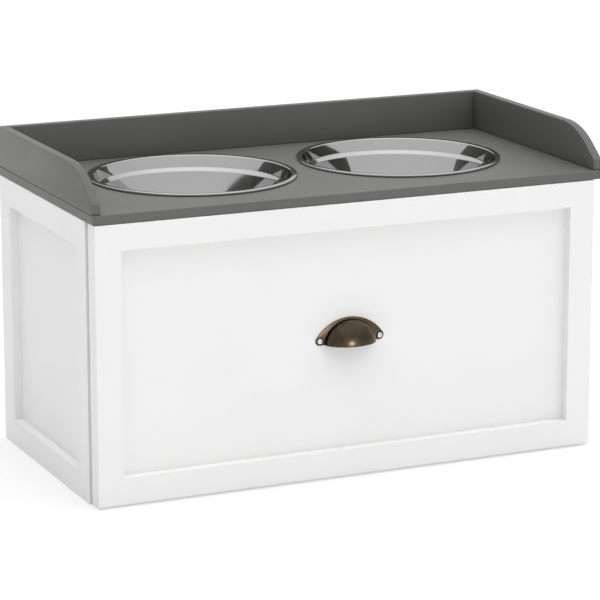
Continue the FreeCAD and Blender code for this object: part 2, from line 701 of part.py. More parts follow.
def drawer_runner(screw_holes):
    """Left runner on the drawer: round the box side's lower corner, then out over the cabinet's roller."""
    x = -box_outer_x
    points = [
        Vector(x + BOX_WALL, 0, box_bottom_z),
        Vector(x, 0, box_bottom_z),
        Vector(x, 0, flange_z + RUNNER_SHEET),
        Vector(x - RUNNER_FLANGE_REACH, 0, flange_z + RUNNER_SHEET),
    ]
    section = folded_sheet(points, [0, 0, RUNNER_BEND_RADIUS, 0], RUNNER_SHEET)
    section.translate(Vector(0, front_back_y, 0))
    runner = section.extrude(Vector(0, box_length, 0))
    axle_hole = drill(
        AXLE_RADIUS + AXLE_FIT, RUNNER_SHEET + 2 * CUT_OVERRUN,
        Vector(x + CUT_OVERRUN, drawer_roller_y, drawer_roller_z), Vector(-1, 0, 0),
    )
    return runner.cut(screw_holes + [axle_hole])


def axle(start, direction, collar):
    """A stub axle: through the sheet, a collar, the roller's seat and a head."""
    seat = roller_width + 2 * ROLLER_END_PLAY
    collar_start = start + direction * RUNNER_SHEET
    head_start = collar_start + direction * (collar + seat)
    return drill(AXLE_RADIUS, RUNNER_SHEET + collar + seat + AXLE_HEAD_HEIGHT, start, direction).fuse([
        drill(AXLE_HEAD_RADIUS, collar, collar_start, direction),
        drill(AXLE_HEAD_RADIUS, AXLE_HEAD_HEIGHT, head_start, direction),
    ]).removeSplitter()


def roller(radius, start, direction):
    wheel = drill(radius, roller_width, start, direction)
    rims = [edge for edge in wheel.Edges if not is_along(edge, direction)]
    wheel = wheel.makeFillet(ROLLER_EDGE_ROUND, rims)
    return wheel.cut(drill(AXLE_RADIUS + AXLE_FIT, roller_width, start, direction))


def rollers_and_axles():
    """The left cabinet roller and drawer roller, each on its axle."""
    inward = Vector(1, 0, 0)
    outward = Vector(-1, 0, 0)
    cabinet_start = Vector(-inner_x, cabinet_roller_y, cabinet_roller_z)
    drawer_start = Vector(-box_outer_x, drawer_roller_y, drawer_roller_z)
    cabinet_offset = RUNNER_SHEET + CABINET_COLLAR + ROLLER_END_PLAY
    drawer_offset = RUNNER_SHEET + DRAWER_COLLAR + ROLLER_END_PLAY
    return (
        roller(CABINET_ROLLER_RADIUS, cabinet_start + inward * cabinet_offset, inward),
        axle(cabinet_start, inward, CABINET_COLLAR),
        roller(drawer_roller_radius, drawer_start + outward * drawer_offset, outward),
        axle(drawer_start, outward, DRAWER_COLLAR),
    )


def bowl(hand):
    """A pressed steel bowl: a floor, a tapered wall, a step, an upper band and a rim rolled over outwards."""
    floor_z = -BOWL_DEPTH
    band_radius = bowl_neck_radius - BOWL_BAND_INSET
    step_radius = band_radius - BOWL_STEP
    step_z = -BOWL_BAND_DEPTH - BOWL_STEP
    points = [
        Vector(0, 0, floor_z),
        Vector(step_radius - BOWL_TAPER, 0, floor_z),
        Vector(step_radius, 0, step_z),
        Vector(band_radius, 0, -BOWL_BAND_DEPTH),
        Vector(bowl_neck_radius, 0, RIM_HEIGHT),
        Vector(rim_radius, 0, RIM_HEIGHT),
        Vector(rim_radius, 0, RIM_SEAT_GAP),
    ]
    radii = [
        0, BOWL_FOOT_RADIUS, BOWL_STEP_RADIUS, BOWL_STEP_RADIUS, BOWL_BEND_RADIUS, BOWL_BEND_RADIUS, 0,
    ]
    section = folded_sheet(points[::-1], radii[::-1], BOWL_WALL)
    shell = section.revolve(Vector(0, 0, 0), Vector(0, 0, 1), 360)
    shell.translate(Vector(hand * bowl_x, bowl_y, top_z))
    return shell


def ellipsoid(half_width, projection, half_height):
    stretch = FreeCAD.Matrix()
    stretch.scale(half_width, projection, half_height)
    return Part.makeSphere(1).transformGeometry(stretch)


def pull_flange():
    """A flat plate with a rounded ear at each end and an arched top, all tangent."""
    half = PULL_SCREW_SPACING / 2
    ear = PULL_EAR_RADIUS
    arch = (half ** 2 + PULL_ARCH_HEIGHT ** 2 - ear ** 2) / (2 * (PULL_ARCH_HEIGHT - ear))
    centre = Vector(0, 0, PULL_ARCH_HEIGHT - arch)
    crown = Vector(0, 0, PULL_ARCH_HEIGHT)
    edges = []
    touches = []
    for hand in (-1, 1):
        ear_centre = Vector(hand * half, 0, 0)
        away = (ear_centre - centre).normalize()
        touch = centre + away * arch
        foot = Vector(hand * half, 0, -ear)
        side = (away + Vector(0, 0, -1)).normalize()
        edges.append(Part.Arc(foot, ear_centre + side * ear, touch).toShape())
        touches.append(touch)
    edges.append(Part.Arc(touches[0], crown, touches[1]).toShape())
    edges.append(Part.LineSegment(Vector(-half, 0, -ear), Vector(half, 0, -ear)).toShape())
    wire = Part.Wire(Part.__sortEdges__(edges))
    plate = Part.Face(wire).extrude(Vector(0, -PULL_FLANGE_THICKNESS, 0))
    return rounded(plate, PULL_FLANGE_ROUND, lambda edge, mid: mid.y < -PULL_FLANGE_ROUND * 2)


def cup_pull():
    """A half dome open below, on the flange that carries its two screws."""
    mouth = Vector(0, 0, -PULL_EAR_RADIUS)
    half_width = PULL_DOME_WIDTH / 2
    wall = PULL_DOME_THICKNESS
    outer = ellipsoid(half_width, PULL_PROJECTION, PULL_DOME_HEIGHT)
    inner = ellipsoid(half_width - wall, PULL_PROJECTION - wall, PULL_DOME_HEIGHT - wall)
    outer.translate(mouth)
    inner.translate(mouth)
    reach = PULL_SCREW_SPACING
    front_half = block(-reach, reach, -reach, 0, -PULL_EAR_RADIUS, reach)
    shell = pull_flange().fuse(outer.common(front_half)).cut(inner)
    for hand in (-1, 1):
        start = Vector(hand * PULL_SCREW_SPACING / 2, CUT_OVERRUN, 0)
        length = PULL_FLANGE_THICKNESS + 2 * CUT_OVERRUN
        shell = shell.cut(drill(SCREW_RADIUS + WOOD_FIT, length, start, Vector(0, -1, 0)))
    shell.translate(Vector(pull_x, front_sheet_y, pull_z))
    return shell


def pull_screw_places():
    seat_y = front_sheet_y - PULL_FLANGE_THICKNESS
    half = PULL_SCREW_SPACING / 2
    return [(Vector(pull_x + hand * half, seat_y, pull_z), Vector(0, 1, 0)) for hand in (-1, 1)]


def both_sides(shapes):
    return shapes + [mirrored(shape) for shape in shapes]


def build():
    """Every node by name."""
    cams, bolts, dowels, joint_cuts = carcase_joints()
    upstand_screws, upstand_holes = placed_screws(upstand_screw, upstand_screw_places())
    box_screws, box_holes = placed_screws(box_screw, box_screw_places())
    front_screws, front_holes = placed_screws(front_screw, front_screw_places())
    pull_screws, pull_holes = placed_screws(pull_screw, pull_screw_places())
    cabinet_places, drawer_places = runner_screw_places()
    cabinet_screws, cabinet_holes = placed_screws(runner_screw, cabinet_places)
    drawer_screws, drawer_holes = placed_screws(runner_screw, drawer_places)
    cabinet_roller, cabinet_axle, drawer_roller, drawer_axle = rollers_and_axles()
    left_runner = cabinet_runner(cabinet_holes)
    left_drawer_runner = drawer_runner(drawer_holes)
    right_upstand = side_upstand(upstand_holes)

    nodes = {
        "top_board": top_board(joint_cuts["top"] + upstand_holes),
        "upstand_back": back_upstand(upstand_holes),
        "upstand_right": right_upstand,
        "upstand_left": mirrored(right_upstand),
        "upstand_screws": Part.makeCompound(upstand_screws),
        "cam_locks": Part.makeCompound(cams),
        "cam_bolts": Part.makeCompound(bolts),
        "dowels": Part.makeCompound(dowels),
        "cabinet_runner_left": left_runner,
        "cabinet_runner_right": mirrored(left_runner),
        "cabinet_runner_screws": Part.makeCompound(both_sides(cabinet_screws)),
        "cabinet_roller_axles": Part.makeCompound(both_sides([cabinet_axle])),
        "cabinet_roller_left": cabinet_roller,
        "cabinet_roller_right": mirrored(cabinet_roller),
        "drawer_runner_left": left_drawer_runner,
        "drawer_runner_right": mirrored(left_drawer_runner),
        "drawer_runner_screws": Part.makeCompound(both_sides(drawer_screws)),
        "drawer_roller_axles": Part.makeCompound(both_sides([drawer_axle])),
        "drawer_roller_left": drawer_roller,
        "drawer_roller_right": mirrored(drawer_roller),
        "box_screws": Part.makeCompound(box_screws),
        "front_fixing_screws": Part.makeCompound(front_screws),
        "cup_pull": cup_pull(),
        "cup_pull_screws": Part.makeCompound(pull_screws),
        "bowl_left": bowl(-1),
        "bowl_right": bowl(1),
    }
    base = block(-inner_x, inner_x, side_front_y, back_y, BASE_LIFT, base_z)
    nodes["base_panel"] = base.cut(joint_cuts["base"])
    back = block(-inner_x, inner_x, back_y, side_rear_y, BASE_LIFT, CABINET_HEIGHT)
    nodes["back_panel"] = back.cut(joint_cuts["back"])
    nodes.update(side_panels(joint_cuts["side"] + both_sides(cabinet_holes)))
    nodes.update(drawer_front(front_holes + pull_holes))
    nodes.update(drawer_box(box_holes + both_sides(drawer_holes), front_holes + pull_holes))
    return nodes


os.makedirs("parts", exist_ok=True)
for node_name, node_shape in build().items():
    node_shape.exportStep(os.path.join("parts", node_name + ".step"))
    print(node_name, len(node_shape.Solids), round(node_shape.Volume), node_shape.isValid())
print("drawer travel", drawer_travel, "roller radii", CABINET_ROLLER_RADIUS, drawer_roller_radius)
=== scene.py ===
import json
import math

import bmesh
import bpy
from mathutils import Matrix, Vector


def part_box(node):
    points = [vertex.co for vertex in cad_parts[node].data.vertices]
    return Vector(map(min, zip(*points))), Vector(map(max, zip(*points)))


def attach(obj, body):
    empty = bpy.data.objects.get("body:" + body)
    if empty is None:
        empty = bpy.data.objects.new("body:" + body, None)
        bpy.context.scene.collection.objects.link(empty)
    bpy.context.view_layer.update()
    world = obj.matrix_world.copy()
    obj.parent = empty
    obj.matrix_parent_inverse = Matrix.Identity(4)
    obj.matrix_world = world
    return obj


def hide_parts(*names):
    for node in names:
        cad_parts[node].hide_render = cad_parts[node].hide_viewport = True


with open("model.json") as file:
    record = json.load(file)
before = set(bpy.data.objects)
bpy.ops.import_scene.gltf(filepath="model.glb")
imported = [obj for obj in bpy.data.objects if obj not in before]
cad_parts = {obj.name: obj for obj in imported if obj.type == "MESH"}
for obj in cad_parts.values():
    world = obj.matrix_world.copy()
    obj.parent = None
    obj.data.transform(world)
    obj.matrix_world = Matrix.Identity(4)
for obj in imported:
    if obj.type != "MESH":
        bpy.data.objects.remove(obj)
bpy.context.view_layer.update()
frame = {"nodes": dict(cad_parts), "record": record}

# An elevated feeder: a white framed cabinet with one wide drawer, and a grey tray top with two steel bowls.
# Metres. +X is to the right, +Y to the rear, +Z up, and the floor is at zero.

MM = 0.001

# How near counts as lying in a plane, as one point, and as cut through
CLOSE = 0.1 * MM
DOUBLES = 0.01 * MM
CUT_TOLERANCE = 0.001 * MM

# Camera, set out from the photograph's vanishing points
CAMERA_PLACE = (-1.29494, -2.85936, 0.92925)
CAMERA_PITCH = 13.679
CAMERA_YAW = 24.333
CAMERA_LENS = 173.1
CAMERA_SENSOR = 36
CAMERA_RANGE = (0.05, 200)

# Bowls: the visible surface from the middle of the floor to the foot of the rim, as radius and height
BOARD_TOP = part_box("top_board")[1][2]
BOWL_SIDES = 160
BOWL_ARC_STEPS = 7
BOWL_WALL = 0.7 * MM
BOWL_DEPTH = 58.0 * MM
RIM_RADIUS = 115.0 * MM
RIM_TOP = 2.8 * MM
HEM_HEIGHT = 2.3 * MM
HEM_ROUND = 0.8 * MM
RING_RADIUS = 108.4 * MM
RING_ROUND = 1.6 * MM
BAND_RADIUS = 105.0 * MM
BAND_DEPTH = 11.0 * MM
STEP_RADIUS = 101.4 * MM
STEP_DEPTH = 14.6 * MM
FLOOR_RADIUS = 90.8 * MM
FOOT_ROUND = 14.0 * MM
STEP_ROUND = 3.0 * MM
BOWL_SMOOTH = 40

# Upstands
UPSTAND_CURVE = 90.0 * MM
UPSTAND_SLOPE = math.radians(37.6)
UPSTAND_NOSE = 11.5 * MM
UPSTAND_CUTS = 30
UPSTAND_ROUND = 1.0 * MM
SEAM_ROUND = 1.1 * MM
UPSTAND_SHARP = math.radians(20)
UPSTAND_SMOOTH = 30

# Cup pull, about the middle between its two screws
PULL_SCREW_REACH = 35.6 * MM
PULL_EAR = 4.9 * MM
PULL_ARCH = 23.7 * MM
PULL_ARCH_SIDES = 240
PULL_EAR_SIDES = 48
PULL_FLANGE = 1.2 * MM
PULL_FLANGE_ROUND = 0.45 * MM
PULL_FLAT = math.radians(0.3)
PULL_DOME = (30.2 * MM, 22.0 * MM, 26.2 * MM)
PULL_DOME_SIDES = 128
PULL_DOME_RINGS = 64
PULL_DOME_BACK = 0.4 * MM
PULL_WALL = 1.2 * MM
PULL_LIP_ROUND = 0.4 * MM
PULL_LIP_SHARP = math.radians(40)
PULL_HOLE = 1.55 * MM
PULL_SMOOTH = 35

# Screws of the pull: a rounded head with a cross recess, each turned as it was driven
SCREW_SIDES = 32
SCREW_HEAD = 3.0 * MM
SCREW_HEAD_SIDES = 48
SCREW_HEAD_HEIGHT = 1.4 * MM
SCREW_HEAD_ROUND = 0.75 * SCREW_HEAD_HEIGHT
SCREW_RECESS = (3.4 * MM, 0.9 * MM)
SCREW_RECESS_DEPTH = 0.8 * MM
SCREW_RECESS_ROUND = 0.25 * MM
SCREW_SHANK = 1.5 * MM
SCREW_TIP = 1.1 * MM
SCREW_TIP_ROUND = 0.6 * MM
LEFT_SCREW_TURN = math.radians(24)
RIGHT_SCREW_TURN = math.radians(-38)

# Finishes: the part of each noise's range that is spread over a finish, the paint's specks and unevenness,
# how the fine lines of a spun bowl run round it, and the tones of metal and wood
TONE_SPREAD = (0.35, 0.65)
POLISH_SPREAD = (0.12, 0.42)
CLOUD_SPREAD = (0.4, 0.62)
SPECK_SCALE = 90.0
SPECK_REACH = 0.05
SPECK_HEIGHT = 0.6
SHEEN_DRIFT = 0.12
FILM_BUMP = 0.1 * MM
GRAIN_BUMP = 0.05 * MM
SPUN_TURN = 0.004
STEEL_TONES = ((0.55, 0.55, 0.548, 1), (0.58, 0.58, 0.58, 1))
BRONZE_TONES = ((0.068, 0.046, 0.024, 1), (0.098, 0.069, 0.038, 1))
BEECH_STRETCH = (60.0, 900.0, 900.0)
BEECH_STOPS = ((0.35, (0.42, 0.25, 0.13, 1)), (0.65, (0.66, 0.46, 0.28, 1)))
BEECH_ROUGHNESS = (0.5, 0.75)

# Dark places of the pull: the dome painted darker than its flange, painted contact shade round the dome's
# foot, and painted shadows round the seats of the screws. Seen from the front, the dome's outline is at a
# reach of 1.
# Painted contact shade: a thin dark line round the dome's foot
FOOT_LINE = 0.985
FOOT_LINE_EDGE = (0.012, 0.035)
# The dome painted darker than its flange
DOME_DARKER_REACH = (0.9, 1.02)
DOME_DARKER_TONE = 0.72
# Painted shadows on the flange round each screw head
SEAT_EDGE = (SCREW_HEAD + 0.6 * MM, PULL_EAR)
SEAT_DARKNESS = 0.9
# Near-black of the painted shade and shadows
SHADE_BLACK = (0.008, 0.006, 0.004, 1)

# Soft light, as direction, strength and narrowness, and the studio's white as metal mirrors it
OVERHEAD = (0, 0, 1)
SOFT_LIGHTS = ((OVERHEAD, 2.55, 3), ((1, 0, 0.45), 0.50, 1), ((0, -1, 0.45), 0.33, 1))
MIRROR_HORIZON = 0.655
MIRROR_ZENITH = 1.28
MIRROR_NARROWNESS = 2

# A small lamp in front of the pull
LAMP_PLACE = (0.074, -1.07, 0.16)
LAMP_TARGET = (-0.011, -0.177, 0.16)
LAMP_SIZE = 0.06
LAMP_POWER = 2.4

# Floor
FLOOR_SIZE = 60
FLOOR_DROP = 0.2 * MM
FLOOR_GREY = 0.90
FLOOR_WHITE_SHARE = 0.5


# Modelling by hand

def clear_selection():
    if bpy.context.object is not None and bpy.context.object.mode != "OBJECT":
        bpy.ops.object.mode_set(mode="OBJECT")
    bpy.ops.object.select_all(action="DESELECT")


def pick(piece):
    """Makes a piece the only one selected, and the active one."""
    clear_selection()
    piece.select_set(True)
    bpy.context.view_layer.objects.active = piece


def named(name):
    piece = bpy.context.object
    piece.name = name
    piece.data.name = name
    return piece


def edit(piece, kind="FACE"):
    pick(piece)
    bpy.ops.object.mode_set(mode="EDIT")
    bpy.ops.mesh.select_mode(type=kind)


def leave_edit():
    bpy.ops.object.mode_set(mode="OBJECT")


def pick_edges(piece, wanted):
    """In edit mode, selects the edges that pass a test, and nothing else."""
    bpy.ops.mesh.select_all(action="DESELECT")
    mesh = bmesh.from_edit_mesh(piece.data)
    for edge in mesh.edges:
        if wanted(edge):
            edge.select_set(True)
    mesh.select_flush_mode()
    bmesh.update_edit_mesh(piece.data)


def bevel(piece, wanted, offset, segments):
    """In edit mode, bevels the edges that pass a test, and leaves it."""
    bpy.ops.mesh.select_mode(type="EDGE")
    pick_edges(piece, wanted)
    bpy.ops.mesh.bevel(offset=offset, offset_type="OFFSET", segments=segments, affect="EDGES")
    leave_edit()


def rounded_off(piece, wanted, offset, segments):
    """Bevels the edges that pass a test."""
    edit(piece)
    bevel(piece, wanted, offset, segments)


def cut_off(place, outward, fill=False):
    """In edit mode, takes away all that lies on the outward side of a plane."""
    bpy.ops.mesh.select_all(action="SELECT")
    bpy.ops.mesh.bisect(
        plane_co=place, plane_no=outward, use_fill=fill, clear_outer=True, threshold=CUT_TOLERANCE
    )


def apply_place(piece):
    """Puts the piece's place and size into its mesh."""
    pick(piece)
    bpy.ops.object.transform_apply(location=True, rotation=True, scale=True)


def apply_modifier(piece, kind, **settings):
    pick(piece)
    modifier = piece.modifiers.new(kind.title(), kind)
    for setting, value in settings.items():
        setattr(modifier, setting, value)
    bpy.ops.object.modifier_apply(modifier=modifier.name)


def cut_out(piece, tool):
    """Takes a closed shape out of a piece, and deletes the shape."""
    apply_modifier(piece, "BOOLEAN", operation="DIFFERENCE", object=tool, solver="EXACT")
    pick(tool)
    bpy.ops.object.delete()


def normals_out(piece):
    edit(piece)
    bpy.ops.mesh.select_all(action="SELECT")
    bpy.ops.mesh.remove_doubles(threshold=DOUBLES)
    bpy.ops.mesh.normals_make_consistent(inside=False)
    leave_edit()


def smooth(piece, degrees):
    pick(piece)
    bpy.ops.object.shade_smooth_by_angle(angle=math.radians(degrees), keep_sharp_edges=False)


def joined(name, pieces):
    clear_selection()
    for piece in pieces:
        piece.select_set(True)
    bpy.context.view_layer.objects.active = pieces[0]
    bpy.ops.object.join()
    return named(name)


def copied(piece, name, shift):
    """A second piece of the same shape, with its own mesh, moved by a shift."""
    pick(piece)
    bpy.ops.object.duplicate(linked=False)
    bpy.ops.transform.translate(value=shift)
    copy = named(name)
    apply_place(copy)
    return copy


def node_box(name):
    """The lowest and the highest corner of a CAD node."""
    return [Vector(corner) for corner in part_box(name)]


def rounded_path(corners, radii, steps):
    """Points of an open path of straight runs, with an arc at each corner whose radius isn't zero."""
    path = []
    for index, corner in enumerate(corners):
        if radii[index] == 0:
            path.append(corner)
            continue
        back = (corners[index - 1] - corner).normalized()
        ahead = (corners[index + 1] - corner).normalized()
        half = back.angle(ahead) / 2
        centre = corner + (back + ahead).normalized() * (radii[index] / math.sin(half))
        start = corner + back * (radii[index] / math.tan(half)) - centre
        end = corner + ahead * (radii[index] / math.tan(half)) - centre
        for step in range(steps + 1):
            path.append(centre + start.slerp(end, step / steps).normalized() * radii[index])
    return path


# Bowls

def bowl_profile():
    corners = [
        Vector((0.0, -BOWL_DEPTH)),
        Vector((FLOOR_RADIUS, -BOWL_DEPTH)),
        Vector((STEP_RADIUS, -STEP_DEPTH)),
        Vector((BAND_RADIUS, -BAND_DEPTH)),
        Vector((RING_RADIUS, RIM_TOP)),
        Vector((RIM_RADIUS, RIM_TOP)),
        Vector((RIM_RADIUS, RIM_TOP - HEM_HEIGHT)),
        Vector((RIM_RADIUS - HEM_HEIGHT, RIM_TOP - HEM_HEIGHT)),
    ]
    rounds = [0, FOOT_ROUND, STEP_ROUND, STEP_ROUND, RING_ROUND, HEM_ROUND, HEM_ROUND, 0]
    return rounded_path(corners, rounds, BOWL_ARC_STEPS)


def bowl_middle(name):
    low, high = node_box(name)
    return Vector(((low.x + high.x) / 2, (low.y + high.y) / 2, BOARD_TOP))


def bowl(name):
    """A pressed bowl: a ring at the rim's foot, drawn over the rim and down the wall to the middle."""
    centre = bowl_middle(name)[:2]
    path = bowl_profile()[::-1]
    clear_selection()
    start = path[0]
    bpy.ops.mesh.primitive_circle_add(
        vertices=BOWL_SIDES, radius=start.x, location=(*centre, BOARD_TOP + start.y), fill_type="NOTHING"
    )
    piece = named("steel_" + name)
    edit(piece, "EDGE")
    bpy.ops.mesh.select_all(action="SELECT")
    for before, after in zip(path, path[1:]):
        bpy.ops.mesh.extrude_edges_move(
            TRANSFORM_OT_translate={"value": (0, 0, after.y - before.y)}
        )
        if after.x > 0:
            share = after.x / before.x
            bpy.ops.transform.resize(
                value=(share, share, 1), center_override=(*centre, BOARD_TOP + after.y)
            )
        else:
            bpy.ops.mesh.merge(type="CENTER")
    leave_edit()
    apply_place(piece)
    normals_out(piece)
    apply_modifier(piece, "SOLIDIFY", thickness=BOWL_WALL, offset=-1 if floor_looks_up(piece) else 1)
    normals_out(piece)
    smooth(piece, BOWL_SMOOTH)
    return piece


def floor_looks_up(piece):
    """True where the floor's faces look up, so that the wall's thickness goes below them."""
    lowest = min(piece.data.polygons, key=lambda face: face.center.z)
    return lowest.normal.z > 0


# Upstands

def board_blank(name, new_name):
    low, high = node_box(name)
    clear_selection()
    bpy.ops.mesh.primitive_cube_add(size=1, location=(low + high) / 2, scale=high - low)
    piece = named(new_name)
    apply_place(piece)
    return piece, low, high


def heights(edge):
    return sorted(vertex.co.z for vertex in edge.verts)


def eased_edges(piece, free, seam):
    """Rounds the free edges, then takes a little off the edges of the seams."""
    for offset, wanted in ((UPSTAND_ROUND, free), (SEAM_ROUND, seam)):
        rounded_off(
            piece, lambda edge: edge.calc_face_angle(0) > UPSTAND_SHARP and wanted(edge), offset,
            segments=4,
        )
    normals_out(piece)
    smooth(piece, UPSTAND_SMOOTH)


def side_upstand(name):
    """A board cut to its curve and slope by tangent cuts, then rounded along its free edges."""
    piece, low, high = board_blank(name, "curved_" + name)
    bend = low.y + (high.z - low.z - UPSTAND_NOSE) / math.tan(UPSTAND_SLOPE)
    centre = Vector((low.x, bend + UPSTAND_CURVE * math.tan(UPSTAND_SLOPE / 2), high.z - UPSTAND_CURVE))
    for cut in range(1, UPSTAND_CUTS + 1):
        turn = UPSTAND_SLOPE * cut / UPSTAND_CUTS
        outward = Vector((0, -math.sin(turn), math.cos(turn)))
        edit(piece)
        cut_off(centre + outward * UPSTAND_CURVE, outward, fill=True)
        leave_edit()
    normals_out(piece)
    foot = low.z + CLOSE
    eased_edges(piece, lambda edge: heights(edge)[1] > foot, lambda edge: heights(edge)[1] < foot)
    return piece


def back_upstand(name):
    """A board between the side upstands, rounded along its top and eased where it meets its neighbours."""
    piece, _, high = board_blank(name, "eased_" + name)

    def long_top_edge(edge):
        return heights(edge)[0] > high.z - CLOSE and abs(edge.verts[0].co.x - edge.verts[1].co.x) > MM

    eased_edges(piece, long_top_edge, lambda edge: heights(edge)[0] < high.z - 2 * UPSTAND_ROUND)
    return piece


# Cup pull

def pull_middle():
    low, high = node_box("cup_pull_screws")
    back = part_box("cup_pull")[1][1]
    return Vector(((low.x + high.x) / 2, back, (low.z + high.z) / 2))


def front_circle(sides, radius, place):
    """Adds a bare circle that looks to the front."""
    bpy.ops.mesh.primitive_circle_add(
        vertices=sides, radius=radius, location=place, rotation=(math.pi / 2, 0, 0), fill_type="NOTHING"
    )


def pull_flange(middle):
    """The plate behind the dome: two ears and an arch, wrapped as one outline and softened in front."""
    arch = (PULL_SCREW_REACH ** 2 + PULL_ARCH ** 2 - PULL_EAR ** 2) / (2 * (PULL_ARCH - PULL_EAR))
    spread = math.atan2(PULL_SCREW_REACH, arch - PULL_ARCH)
    clear_selection()
    front_circle(PULL_ARCH_SIDES, arch, middle + Vector((0, 0, PULL_ARCH - arch)))
    plate = named("pull_plate")
    apply_place(plate)
    edit(plate, "VERT")
    bpy.ops.mesh.select_all(action="SELECT")
    bpy.ops.mesh.bisect(
        plane_co=middle + Vector((0, 0, PULL_ARCH - arch + arch * math.cos(spread))),
        plane_no=(0, 0, 1), clear_inner=True,
    )
    for hand in (-1, 1):
        front_circle(PULL_EAR_SIDES, PULL_EAR, middle + Vector((hand * PULL_SCREW_REACH, 0, 0)))
    bpy.ops.mesh.select_all(action="SELECT")
    bpy.ops.mesh.extrude_edges_move(TRANSFORM_OT_translate={"value": (0, -PULL_FLANGE, 0)})
    bpy.ops.mesh.select_all(action="SELECT")
    bpy.ops.mesh.convex_hull()
    bpy.ops.mesh.select_all(action="SELECT")
    bpy.ops.mesh.dissolve_limited(angle_limit=PULL_FLAT)
    bevel(plate, lies_at("y", middle.y - PULL_FLANGE), PULL_FLANGE_ROUND, segments=3)
    return plate


def lies_at(axis, level):
    """A test for edges that lie in the plane of a level along an axis."""
    return lambda edge: all(abs(getattr(vertex.co, axis) - level) < CLOSE for vertex in edge.verts)


def stretched_ball(name, mouth, size):
    clear_selection()
    bpy.ops.mesh.primitive_uv_sphere_add(
        segments=PULL_DOME_SIDES, ring_count=PULL_DOME_RINGS, radius=1, location=mouth, scale=size
    )
    ball = named(name)
    apply_place(ball)
    return ball


def pull_dome(middle, mouth):
    """The front half of a stretched ball above the pull's mouth, as a shell with a softened lip."""
    dome = stretched_ball("pull_dome", mouth, PULL_DOME)
    edit(dome)
    cut_off(middle - Vector((0, PULL_DOME_BACK, 0)), (0, 1, 0))
    cut_off(mouth, (0, 0, -1))
    leave_edit()
    normals_out(dome)
    apply_modifier(dome, "SOLIDIFY", thickness=PULL_WALL, offset=-1, use_even_offset=True)
    in_mouth = lies_at("z", mouth.z)
    rounded_off(
        dome, lambda edge: in_mouth(edge) and edge.calc_face_angle(0) > PULL_LIP_SHARP, PULL_LIP_ROUND,
        segments=3,
    )
    normals_out(dome)
    return dome


def cup_pull():
    middle = pull_middle()
    mouth = middle - Vector((0, 0, PULL_EAR))
    plate = pull_flange(middle)
    cut_out(plate, stretched_ball("pull_inside", mouth, [size - PULL_WALL for size in PULL_DOME]))
    dome = pull_dome(middle, mouth)
    for hand in (-1, 1):
        clear_selection()
        bpy.ops.mesh.primitive_cylinder_add(
            vertices=SCREW_SIDES, radius=PULL_HOLE, depth=4 * PULL_FLANGE, rotation=(math.pi / 2, 0, 0),
            location=middle + Vector((hand * PULL_SCREW_REACH, 0, 0)),
        )
        hole = named("pull_screw_hole")
        apply_place(hole)
        cut_out(plate, hole)
    piece = joined("bronze_cup_pull", [plate, dome])
    smooth(piece, PULL_SMOOTH)
    return piece


def pan_head(place, name, turn):
    """A domed screw head with a cross recess, looking along -Y, on a plain shank."""
    clear_selection()
    bpy.ops.mesh.primitive_cylinder_add(
        vertices=SCREW_HEAD_SIDES, radius=SCREW_HEAD, depth=SCREW_HEAD_HEIGHT,
        rotation=(math.pi / 2, 0, 0), location=place - Vector((0, SCREW_HEAD_HEIGHT / 2, 0)),
    )
    head = named(name)
    apply_place(head)
    front = place.y - SCREW_HEAD_HEIGHT
    rounded_off(head, lies_at("y", front), SCREW_HEAD_ROUND, segments=6)
    long_side, short_side = SCREW_RECESS
    for angle in (turn, turn + math.pi / 2):
        clear_selection()
        bpy.ops.mesh.primitive_cube_add(
            size=1, location=Vector((place.x, front, place.z)), rotation=(0, angle, 0),
            scale=(long_side, 2 * SCREW_RECESS_DEPTH, short_side),
        )
        slot = named("recess")
        apply_place(slot)
        rounded_off(slot, lies_at("y", front + SCREW_RECESS_DEPTH), SCREW_RECESS_ROUND, segments=1)
        cut_out(head, slot)
    clear_selection()
    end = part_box("cup_pull_screws")[1][1]
    bpy.ops.mesh.primitive_cone_add(
        vertices=SCREW_SIDES, radius1=SCREW_SHANK, radius2=SCREW_TIP, depth=end - place.y,
        rotation=(-math.pi / 2, 0, 0), location=place + Vector((0, (end - place.y) / 2, 0)),
    )
    shank = named("shank")
    apply_place(shank)
    rounded_off(shank, lies_at("y", end), SCREW_TIP_ROUND, segments=2)
    whole = joined(name, [head, shank])
    normals_out(whole)
    return whole


def pull_screws():
    seat = pull_middle() - Vector((0, PULL_FLANGE, 0))
    reach = Vector((PULL_SCREW_REACH, 0, 0))
    left = pan_head(seat - reach, "left_pull_screw", LEFT_SCREW_TURN)
    right = pan_head(seat + reach, "right_pull_screw", RIGHT_SCREW_TURN)
    piece = joined("pull_screw_heads", [left, right])
    smooth(piece, PULL_SMOOTH)
    return piece


# Shader nodes: a value may be a pair of a node and its output, which is linked

def feed(tree, node, values):
    for socket, value in values.items():
        if isinstance(value, tuple) and isinstance(value[0], bpy.types.Node):
            source, output = value
            tree.links.new(source.outputs[output], node.inputs[socket])
        else:
            node.inputs[socket].default_value = value


def add(tree, kind, values=None, **settings):
    node = tree.nodes.new(kind)
    for setting, value in settings.items():
        setattr(node, setting, value)
    feed(tree, node, values or {})
    return node


def calc(tree, operation, *values):
    return add(tree, "ShaderNodeMath", dict(enumerate(values)), operation=operation), "Value"


def calc_vector(tree, operation, *values):
    return add(tree, "ShaderNodeVectorMath", dict(enumerate(values)), operation=operation), "Vector"


def length(tree, vector):
    return add(tree, "ShaderNodeVectorMath", {0: vector}, operation="LENGTH"), "Value"


def object_place(tree):
    return add(tree, "ShaderNodeTexCoord"), "Object"


def noise(tree, place, scale, **more):
    return add(tree, "ShaderNodeTexNoise", {"Vector": place, "Scale": scale, **more}), "Fac"


def ranged(tree, value, start, end, to_start=0.0, to_end=1.0):
    """A value brought from one range into another, and held inside it."""
    return add(tree, "ShaderNodeMapRange", {
        "Value": value, "From Min": start, "From Max": end, "To Min": to_start, "To Max": to_end,
    }), "Result"


def bump(tree, height, strength, distance):
    return add(tree, "ShaderNodeBump", {
        "Height": height, "Strength": strength, "Distance": distance,
    }), "Normal"


